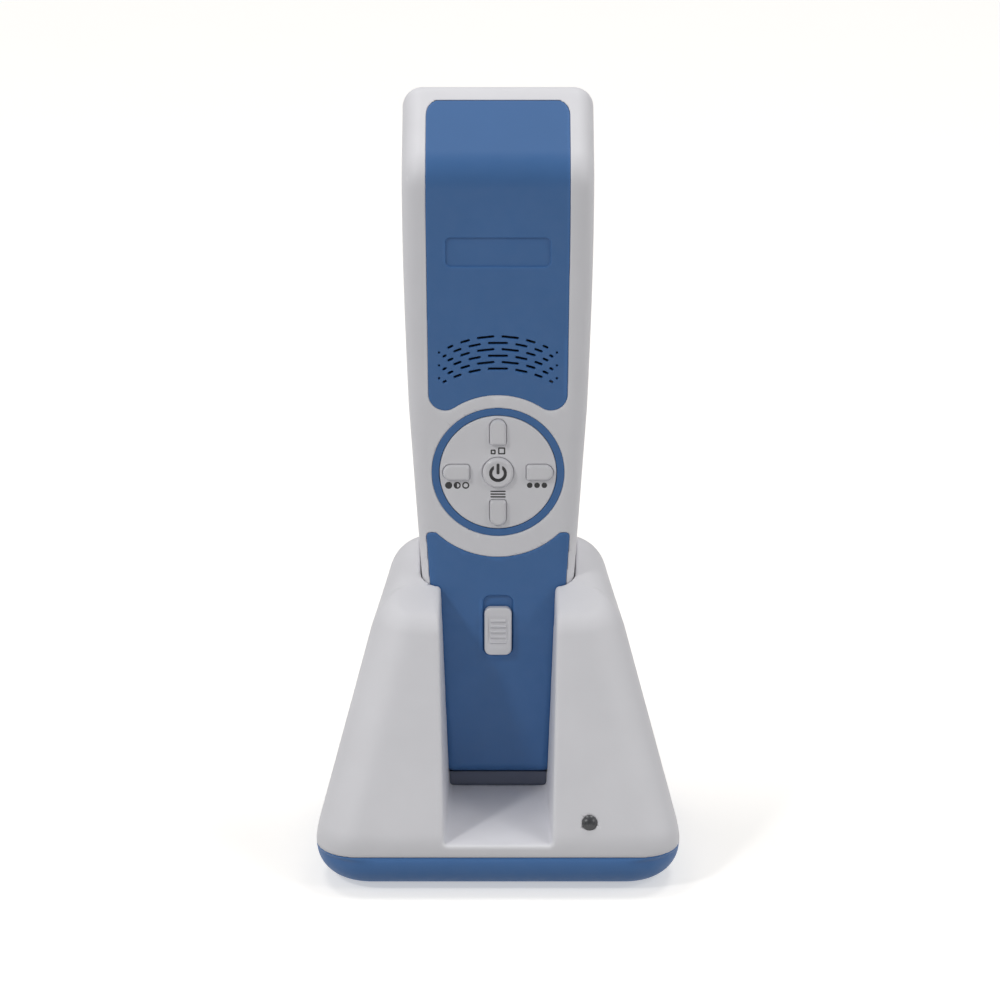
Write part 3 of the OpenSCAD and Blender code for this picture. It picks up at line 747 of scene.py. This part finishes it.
KEYS = {"up": 0, "right": 90, "down": 180, "left": 270}
POWER_LOW, POWER_HIGH = node_box("power_button", HANDSET)
UP_LOW, UP_HIGH = node_box("up_button", HANDSET)
FLANGE = 0.8               # each button is this much wider behind the keypad plate
KEY_W = UP_HIGH[0] - UP_LOW[0] - 2 * FLANGE
KEY_L = UP_HIGH[2] - UP_LOW[2] - 2 * FLANGE
KEY_Z = (UP_LOW[2] + UP_HIGH[2]) / 2
KEY_OFFSET = KEY_Z - RING_Z
PROUD = -UP_LOW[1]
POWER_R = (POWER_HIGH[0] - POWER_LOW[0]) / 2 - FLANGE
KEY_GAP = 0.12
KEY_EDGE = 1.1             # rounding of a button's face
PLATE_T = 2.2
FLANGE_Y = 2.25            # front of the flanges
STEM_Y = 2.3               # and where the buttons' stems end inside them
RING_PROUD = 0.05
RING_DEPTH = 1.2
DISH_R = 14.2              # shallow dish in the power button
DISH_DEPTH = 0.6
PRINT_LIFT = 0.06          # a print stands this far proud of its surface
MARK_LINE = 0.26           # half the width of a printed line
DOT_R = 0.95

THUMB_R = 32.75            # shallow dish along the slider
THUMB_DEPTH = 0.45
RIB_PITCH = 1.85
RIB_R = 0.42
RIB_HALF = 2.5


def ring():
    """Blue ring round the buttons, a hair proud, with soft edges."""
    s = Space((-RING_R, -0.1, RING_Z - RING_R), (RING_R, RING_DEPTH, RING_Z + RING_R), 0.22)
    r = np.hypot(s.x, s.z - RING_Z)
    band = s.meet(slab(r, RING_R - RING_W, RING_R), slab(s.y, -RING_PROUD, RING_DEPTH), 0.3)
    piece = skin("blue_ring", s, band, HANDSET)
    finish_piece(piece, "handset", "blue_panel", blue_plastic, "control_ring")


def key_outline(s, u, v):
    """An arrow button, round at its outer end. u runs across it and v outwards."""
    r = KEY_W / 2
    outer = np.where(v > KEY_L / 2 - r, np.hypot(u, v - (KEY_L / 2 - r)) - r, np.abs(u) - r)
    return s.meet(outer + 0 * v, -v - KEY_L / 2 + 0 * u, 1.0)


def turned(s, name):
    """x and z about the ring's centre, turned so that a key points up."""
    angle = math.radians(KEYS[name])
    x = s.x
    z = s.z - RING_Z
    across = x * math.cos(angle) - z * math.sin(angle)
    outwards = x * math.sin(angle) + z * math.cos(angle) - KEY_OFFSET
    return across, outwards


def keypad():
    """White plate inside the ring, with a hole for each button."""
    r = RING_R - RING_W - 0.15
    s = Space((-r, 0, RING_Z - r), (r, PLATE_T, RING_Z + r), 0.25)
    plate = s.meet(disc(s.x, s.z - RING_Z, r), slab(s.y, 0, PLATE_T), 0.3)
    for name in KEYS:
        plate = s.cut(plate, key_outline(s, *turned(s, name)) - KEY_GAP, 0.15)
    plate = s.cut(plate, disc(s.x, s.z - RING_Z, POWER_R + KEY_GAP), 0.15)
    piece = skin("keypad", s, plate, HANDSET)
    finish_piece(piece, "handset", "keypad_plate", white_plastic, "keypad_plate")


def arrow_buttons():
    for name in KEYS:
        low, high = node_box(f"{name}_button", HANDSET)
        s = Space(low, high, 0.16)
        outline = key_outline(s, *turned(s, name))
        stem = s.meet(outline, slab(s.y, -PROUD, STEM_Y), KEY_EDGE)
        flange = s.meet(outline - FLANGE, slab(s.y, FLANGE_Y, high[1]), 0.15)
        piece = skin(f"{name}_key", s, s.join(stem, flange, 0.1), HANDSET, flatness=0.002)
        finish_piece(piece, f"{name}_button", "button_white", button_plastic, f"{name}_button")


def power_face(s):
    """The power button's body: a rounded rim round a shallow dish."""
    r = np.hypot(s.x, s.z - RING_Z)
    body = s.meet(r - POWER_R, slab(s.y, -PROUD, STEM_Y), KEY_EDGE)
    dish = np.sqrt(r * r + (s.y + PROUD + (DISH_R - DISH_DEPTH)) ** 2) - DISH_R
    return s.cut(body, dish, 0.6)


def power_key():
    s = Space(POWER_LOW, POWER_HIGH, 0.16)
    r = np.hypot(s.x, s.z - RING_Z)
    flange = s.meet(r - POWER_R - FLANGE, slab(s.y, FLANGE_Y, POWER_HIGH[1]), 0.15)
    piece = skin("power_key", s, s.join(power_face(s), flange, 0.1), HANDSET, flatness=0.002)
    finish_piece(piece, "power_button", "button_white", button_plastic, "power_button")


def power_symbol():
    """A broken ring and a bar, printed in the power button's dish."""
    s = Space((-3.2, -PROUD, RING_Z - 3.2), (3.2, 0, RING_Z + 3.4), 0.1)
    x, z = s.x, s.z - RING_Z
    loop = np.abs(np.hypot(x, z) - 2.4) - 0.54
    loop = s.cut(loop, rect(x, z - 2.5, 2.6, 3.0, 0.2), 0.15)
    bar = capsule(x, z, (0, 0.1), (0, 2.9), 0.52)
    face = power_face(s)
    layer = np.maximum(face - PRINT_LIFT, -(face + 0.35))
    piece = skin("power_symbol", s, s.meet(np.minimum(loop, bar), layer, 0.03), HANDSET, flatness=0.002)
    finish_piece(piece, "power_button", "button_white", black_print)


def key_marks():
    """Plain pictograms by the arrow buttons, in place of words."""
    s = Space((-18.6, -0.05, RING_Z - 9), (18.6, 0.3, RING_Z + 9), 0.12)
    x, z = s.x, s.z - RING_Z
    # Above the power button: a small square and a large one, for size.
    marks = [
        np.abs(rect(x + 1.6, z - 6.95, 1.2, 1.2, 0.1)) - MARK_LINE,
        np.abs(rect(x - 1.2, z - 7.3, 1.9, 1.9, 0.1)) - MARK_LINE,
    ]
    # Below it: three bars, for a list of modes.
    for row in (-0.95, 0, 0.95):
        marks.append(capsule(x, z + 7.4 + row, (-2.3, 0), (2.3, 0), MARK_LINE))
    # Left: a filled disc, a half-filled one and an open one, for reversed shades.
    for place, filled_to in ((-16.2, 1.0), (-13.4, 0.0), (-10.6, -1.0)):
        circle = disc(x - place, z + 4.4, DOT_R)
        marks.append(np.abs(circle) - MARK_LINE)
        marks.append(np.maximum(circle, x - place - filled_to))
    # Right: three dots, for colours.
    for step in (-1, 0, 1):
        marks.append(disc(x - 12.8 - step * 2.4, z + 4.4, DOT_R))
    shape = np.minimum.reduce([np.broadcast_to(m, (s.shape[0], 1, s.shape[2])) for m in marks])
    piece = skin("key_marks", s, np.maximum(shape, slab(s.y, -0.05, 0.3)), HANDSET)
    finish_piece(piece, "handset", "keypad_plate", black_print)


def slide_knob():
    """White slider with a shallow thumb dish and five ribs."""
    low, high = KNOB_LOW, KNOB_HIGH
    s = Space((low[0], low[1] - 0.2, low[2]), (high[0], 4.2, high[2]), 0.13)
    x, z = s.x, s.z - KNOB_Z
    top = low[1] + 0.05
    body = s.meet(rect(x, z, KNOB_W, KNOB_L, 2.2), slab(s.y, top, 0.7), 0.55)
    dish = np.hypot(s.y - (top - THUMB_R + THUMB_DEPTH), z) - THUMB_R
    inner = s.meet(rect(x, z, KNOB_W - 2.6, KNOB_L - 2.6, 1.4), dish, 0.0)
    body = s.cut(body, inner, 0.35)
    for rib in range(-2, 3):
        bar = np.hypot(s.y - (top + 0.15), z - rib * RIB_PITCH) - RIB_R
        body = np.minimum(body, np.maximum(bar, np.abs(x) - RIB_HALF))
    stem = np.maximum(rect(x, z, 2.6, 4.6, 0.3), slab(s.y, 0.5, 4.1))
    piece = skin("slider", s, np.minimum(body, stem), HANDSET, flatness=0.002)
    finish_piece(piece, "slide_switch", "button_white", button_plastic, "switch_knob")


# ---- Dock ------------------------------------------------------------------

SHELL_LOW, SHELL_HIGH = node_box("dock_shell", DOCK)
BASE_LOW, BASE_HIGH = node_box("dock_base", DOCK)
DOCK_HALF = BASE_HIGH[0]           # half width at the front
DOCK_DEPTH = BASE_HIGH[1]          # half depth
BACK_HALF = 49.0                   # half width at the back
DOCK_R = 13.5                      # plan radius of the corners
BASE_CORNER_R = 18.0               # the base's corners grow to this near the table
BASE_R = 10.1                      # rounding of the base's underside
SPLIT_Z = SHELL_LOW[2]
BASE_GAP = 0.02                    # between the base's top edge and the split line
SKIRT_Z = SPLIT_Z + 4
TOP_R = 12.0                       # rounding of the top's edge
TOP_FRONT = (30.3, -2.6, 72.0)     # middles of the roundings at the top, right side
TOP_BACK = (24.2, 31.4, SHELL_HIGH[2] - TOP_R)
CHANNEL_HALF = 16.1                # half width of the channel at the back end of its floor
CHANNEL_END = 3.4                  # depth of that end
CHANNEL_FLOOR = 17.0
CHANNEL_UP = 0.041                 # each wall spreads by this much for each millimetre upwards
CHANNEL_OUT = 0.032                # and for each millimetre towards the front
WELL_GAP = 0.4                     # between the grip and the well's walls
LIP = 1.3                          # rounding of the channel's rim


def lean_of(run, rise):
    """Run per millimetre of rise of a face that leaves the skirt and touches a top rounding."""
    return math.tan(math.atan2(run, rise) - math.asin(TOP_R / math.hypot(run, rise)))


FRONT_RISE = TOP_FRONT[2] - SKIRT_Z
BACK_RISE = TOP_BACK[2] - SKIRT_Z
FRONT_LEAN = (
    lean_of(DOCK_HALF - TOP_FRONT[0], FRONT_RISE),
    lean_of(DOCK_DEPTH + TOP_FRONT[1], FRONT_RISE),
)
BACK_LEAN = (
    lean_of(BACK_HALF - TOP_BACK[0], BACK_RISE),
    lean_of(DOCK_DEPTH - TOP_BACK[1], BACK_RISE),
)
PAST_MIDDLE = -50.0                # plans are drawn for one side, and close beyond the middle


def outline_at(s, rise, r):
    """The dock's rounded plan at a rise above the skirt, with corners of radius r."""
    front = (DOCK_HALF - r - FRONT_LEAN[0] * rise, r - DOCK_DEPTH + FRONT_LEAN[1] * rise)
    back = (BACK_HALF - r - BACK_LEAN[0] * rise, DOCK_DEPTH - r - BACK_LEAN[1] * rise)
    return polygon(np.abs(s.x), s.y, [(PAST_MIDDLE, front[1]), front, back, (PAST_MIDDLE, back[1])]) - r


def dock_form(s):
    """The dock's outer surface above the split line: tapered sides under a tilted top."""
    past = s.z - SKIRT_Z
    blend = SKIRT_Z - SPLIT_Z
    rise = np.where(past > blend, past, np.maximum(past + blend, 0) ** 2 / (4 * blend))
    sides = outline_at(s, rise, DOCK_R)
    steep = np.sqrt(sum(np.square(p) for p in s.slope(sides)))
    sides = sides / np.maximum(steep, 1)
    run = (TOP_BACK[1] - TOP_FRONT[1], TOP_BACK[2] - TOP_FRONT[2])
    top = plane(s.y, s.z, TOP_BACK[1:], (-run[1], run[0])) - TOP_R
    return s.meet(sides, top, TOP_R)


def to_handset(s):
    """x, y and z of a dock space in the handset's frame, in millimetres."""
    change = np.array(HANDSET.inverted() @ DOCK, dtype=np.float32)
    return [change[i, 0] * s.x + change[i, 1] * s.y + change[i, 2] * s.z + change[i, 3] for i in range(3)]


def channel(s):
    """The open front channel, and the well behind it that takes the grip."""
    u, v, w = to_handset(s)
    half = CHANNEL_HALF - CHANNEL_OUT * (s.y - CHANNEL_END) + CHANNEL_UP * (s.z - CHANNEL_FLOOR)
    walls = np.abs(s.x) - half
    trough = np.maximum(s.meet(walls, CHANNEL_FLOOR - s.z, 1.2), s.y - CHANNEL_END)
    over_seat = np.maximum(walls, np.maximum(v - GRIP_DEPTH / 2, -w))
    depth = slab(v, -WELL_GAP, GRIP_DEPTH + WELL_GAP)
    well = s.meet(np.abs(u) - half_width(w) - WELL_GAP, depth, EDGE_R + 0.5)
    return trough, over_seat, np.maximum(well, -w)


LAMP_LOW, LAMP_HIGH = node_box("led_lens", DOCK)
LAMP_R = (LAMP_HIGH[0] - LAMP_LOW[0]) / 2
LAMP_LEAN = math.atan(FRONT_LEAN[1])
LAMP_DEPTH = 3
LAMP_TIGHT = 0.1                   # by how much its hole's radius is smaller
DOME_R = 3.5
DOME_CENTRE = 2.4                  # how far behind the dock's face


def lamp_centre():
    """Where the lamp's axis meets the dock's front face."""
    x = (LAMP_LOW[0] + LAMP_HIGH[0]) / 2
    back_z = LAMP_LOW[2] + LAMP_R * math.cos(LAMP_LEAN)
    z = back_z + LAMP_DEPTH * math.sin(LAMP_LEAN)
    return Vector((x, -DOCK_DEPTH + (z - SKIRT_Z) * FRONT_LEAN[1], z))


LAMP_CENTRE = lamp_centre()
INLET_LOW, INLET_HIGH = node_box("power_inlet", DOCK)
INLET_Z = (INLET_LOW[2] + INLET_HIGH[2]) / 2
INLET_HOLE = (9.4, 3.8, 1.8)       # width, height and corner radius
INLET_REACH = 38                   # the hole goes in as far as this depth
INLET_RECESS = (12.4, 6.4, 2.4)
INLET_RECESS_DEPTH = 1.6
SEAT_GAP = 0.3
SEAT_TOP = 30                      # no wall is left above the seat to this height
SCREWS = node_points("dock_screws", DOCK)
POST_R = 4.0
THREAD_R = 1.5                     # pilot hole in the shell's post, up to
THREAD_TOP = 20
CLEAR_R = 1.7                      # hole through the base,
SINK_R = 3.1                       # and its recess for the screw's head, up to
SINK_TOP = 4


def at_dock_screws(s, r):
    """Discs about the dock's four screws."""
    discs = []
    for row in (SCREWS[SCREWS[:, 1] < 0], SCREWS[SCREWS[:, 1] > 0]):
        right = row[row[:, 0] > 0]
        centre = (right.min(0) + right.max(0)) / 2
        discs.append(disc(np.abs(s.x) - centre[0], s.y - centre[1], r))
    return np.minimum(*discs)


def dock_shell():
    """White shell of the dock, cut by the channel, the well, the lamp and the power inlet."""
    s = Space((-DOCK_HALF, -DOCK_DEPTH, SPLIT_Z), (DOCK_HALF, DOCK_DEPTH, SHELL_HIGH[2]), 0.6)
    form = dock_form(s)
    hollow = s.cut(form, form + WALL, 0)
    hollow = s.meet(hollow, SPLIT_Z + GROOVE - s.z, 0.35)
    trough, over_seat, well = channel(s)
    lining = np.maximum(np.minimum(trough, well) - WALL, form)
    posts = np.maximum(at_dock_screws(s, POST_R), form)
    body = np.minimum(hollow, np.maximum(np.minimum(lining, posts), SPLIT_Z - s.z))
    body = s.cut(body, np.minimum(trough, over_seat), LIP)
    body = s.cut(body, well, 0.6)
    seat_low, seat_high = node_box("charge_seat", DOCK)
    seat_w, seat_d = (seat_high - seat_low)[:2] + SEAT_GAP
    seat = rect(s.x, s.y - (seat_low[1] + seat_high[1]) / 2, seat_w, seat_d)
    body = s.cut(body, np.maximum(seat, s.z - SEAT_TOP), 0)
    body = s.cut(body, np.maximum(at_dock_screws(s, THREAD_R), s.z - THREAD_TOP), 0)
    recess = rect(s.x, s.z - INLET_Z, *INLET_RECESS)
    body = s.cut(body, np.maximum(recess, DOCK_DEPTH - INLET_RECESS_DEPTH - s.y), 0.4)
    inlet = rect(s.x, s.z - INLET_Z, *INLET_HOLE)
    body = s.cut(body, np.maximum(inlet, INLET_REACH - s.y), 0.2)
    lamp_x, lamp_y, lamp_z = LAMP_CENTRE
    along = (s.z - lamp_z) * math.cos(LAMP_LEAN) + (s.y - lamp_y) * math.sin(LAMP_LEAN)
    hole = disc(s.x - lamp_x, along, LAMP_R - LAMP_TIGHT)
    body = s.cut(body, np.maximum(hole, s.y), 0)
    piece = skin("dock_case", s, body, DOCK)
    finish_piece(piece, "dock", "white_shell", dock_plastic, "dock_shell")


PAD_HIGH = node_box("non_slip_pad", DOCK)[1]
PAD_INSET = BASE_R + 1             # of the pad's edge from the dock's
PAD_R = 9
PAD_GAP = 0.2


def dock_base():
    """Blue pan of the dock, rolled under at the table."""
    s = Space((-DOCK_HALF, -DOCK_DEPTH, BASE_LOW[2]), (DOCK_HALF, DOCK_DEPTH, SPLIT_Z), 0.55)
    up = np.clip((s.z - BASE_LOW[2] - BASE_R) / (SPLIT_Z - BASE_LOW[2] - BASE_R), 0, 1)
    r = BASE_CORNER_R + (DOCK_R - BASE_CORNER_R) * up
    sides = outline_at(s, 0.0, r)
    form = s.meet(sides, BASE_LOW[2] - s.z, BASE_R)
    pan = s.cut(form, form + WALL, 0)
    pan = s.meet(pan, s.z - SPLIT_Z + BASE_GAP, 0.25)
    posts = np.maximum(at_dock_screws(s, POST_R), slab(s.z, BASE_LOW[2] + 0.4, SPLIT_Z - BASE_GAP))
    pan = np.minimum(pan, posts)
    x, y, back = (half - PAD_INSET - PAD_R for half in (DOCK_HALF, DOCK_DEPTH, BACK_HALF))
    pad = polygon(np.abs(s.x), s.y, [(PAST_MIDDLE, -y), (x, -y), (back, y), (PAST_MIDDLE, y)])
    pan = s.cut(pan, np.maximum(pad - (PAD_R + PAD_GAP), s.z - PAD_HIGH[2]), 0.2)
    pan = s.cut(pan, at_dock_screws(s, CLEAR_R) + 0 * s.z, 0)
    pan = s.cut(pan, np.maximum(at_dock_screws(s, SINK_R), s.z - SINK_TOP), 0.2)
    piece = skin("dock_pan", s, pan, DOCK)
    finish_piece(piece, "dock", "blue_base", base_plastic, "dock_base")


def lamp():
    """Smoked dome of the status lamp."""
    place = DOCK @ Matrix.Translation(LAMP_CENTRE) @ Matrix.Rotation(-LAMP_LEAN, 4, "X")
    s = Space((-LAMP_R, -1.4, -LAMP_R), (LAMP_R, LAMP_DEPTH, LAMP_R), 0.12)
    r = np.hypot(s.x, s.z)
    barrel = s.meet(r - LAMP_R, s.y - LAMP_DEPTH, 0.2)
    dome = np.sqrt(r * r + (s.y - DOME_CENTRE) ** 2) - DOME_R
    piece = skin("lamp_dome", s, s.meet(barrel, dome, 0.3), place, flatness=0.001)
    finish_piece(piece, "dock", "smoked_lens", lamp_resin, "led_lens")


# ---- CAD nodes that stay, with their finish --------------------------------

KEPT_NODES = {
    "non_slip_pad": rubber,
    "dock_screws": bright_steel,
    "ballast_plate": dull_steel,
    "dock_board": green_board,
    # The charge seat's dark blue-grey colour is painted shade.
    "charge_seat": seat_shade_plastic,
    "spring_pins": gold_plate,
    "status_led": lamp_body,
    "power_inlet": bright_steel,
    "button_mat": silicone,
    "control_board": green_board,
    "key_switches": bright_steel,
    "switch_body": bright_steel,
    "speaker": dark_plastic,
    "battery": battery_wrap,
    "main_board": green_board,
    "camera_board": green_board,
    "lens_barrel": dark_plastic,
    "lens_glass": optic_glass,
    "camera_bracket": dark_plastic,
    "light_boards": white_board,
    "light_leds": phosphor,
    "charge_contacts": gold_plate,
    "shell_screws": bright_steel,
}


def finish_kept_nodes():
    for name, material in KEPT_NODES.items():
        kept = frame["nodes"][name]
        kept.data.materials.clear()
        kept.data.materials.append(material)
        bevel = kept.modifiers.new("soft_edges", "BEVEL")
        bevel.width = 0.15 * MM
        bevel.segments = 2
        bevel.limit_method = "ANGLE"
        bevel.angle_limit = math.radians(40)


# ---- Studio ----------------------------------------------------------------

def area_light(name, place, aim, size, power):
    data = bpy.data.lights.new(name, "AREA")
    data.shape = "RECTANGLE"
    data.size, data.size_y = size
    data.energy = power
    light = bpy.data.objects.new(name, data)
    bpy.context.scene.collection.objects.link(light)
    light.location = place
    light.rotation_mode = "QUATERNION"
    light.rotation_quaternion = (Vector(aim) - Vector(place)).to_track_quat("-Z", "Y")


def studio():
    bpy.ops.mesh.primitive_plane_add(size=24, location=(0, 0, 0))
    floor = bpy.context.object
    floor.name = "floor"
    material, tree, principled = shader("floor_paper")
    tree.links.new(
        shades(tree, grain(tree, 60, detail=2), (0.79, 0.765, 0.73), (0.81, 0.785, 0.75)),
        principled.inputs["Base Color"],
    )
    principled.inputs["Roughness"].default_value = 0.9
    principled.inputs["Specular IOR Level"].default_value = 0.1
    principled.inputs["Emission Color"].default_value = (1, 1, 1, 1)
    principled.inputs["Emission Strength"].default_value = 0.45
    floor.data.materials.append(material)
    floor.visible_diffuse = False

    middle = (0, 0, 0.12)
    for side in (-1, 1):
        area_light("overhead", (side * 0.45, 0.35, 1.45), middle, (0.3, 0.4), 3.7)
        area_light("side", (side * 1.3, -0.05, 0.7), middle, (1.2, 1.4), 3.5)
    area_light("key", (-0.75, -0.55, 0.95), middle, (0.14, 0.14), 3.2)
    area_light("fill", (0.85, -0.5, 0.9), middle, (0.25, 0.25), 1.5)
    area_light("low", (0, -0.8, 0.08), (0, 0, 0.05), (1.2, 0.2), 0.9)
    area_light("backdrop", (0, 1.7, 1.1), (0, 1.7, 0), (3.0, 1.2), 6.0)

    world = bpy.data.worlds.new("studio")
    world.use_nodes = True
    world.node_tree.nodes["Background"].inputs["Color"].default_value = (1, 1, 1, 1)
    world.node_tree.nodes["Background"].inputs["Strength"].default_value = 0.25
    bpy.context.scene.world = world
    bpy.context.scene.view_settings.view_transform = "Standard"


# ---- Build -----------------------------------------------------------------

for build in (
    shells, upper_panel, grip_inlay, ring, keypad, arrow_buttons, power_key, power_symbol, key_marks,
    slide_knob, window, glides, dock_shell, dock_base, lamp, finish_kept_nodes, studio,
):
    build()
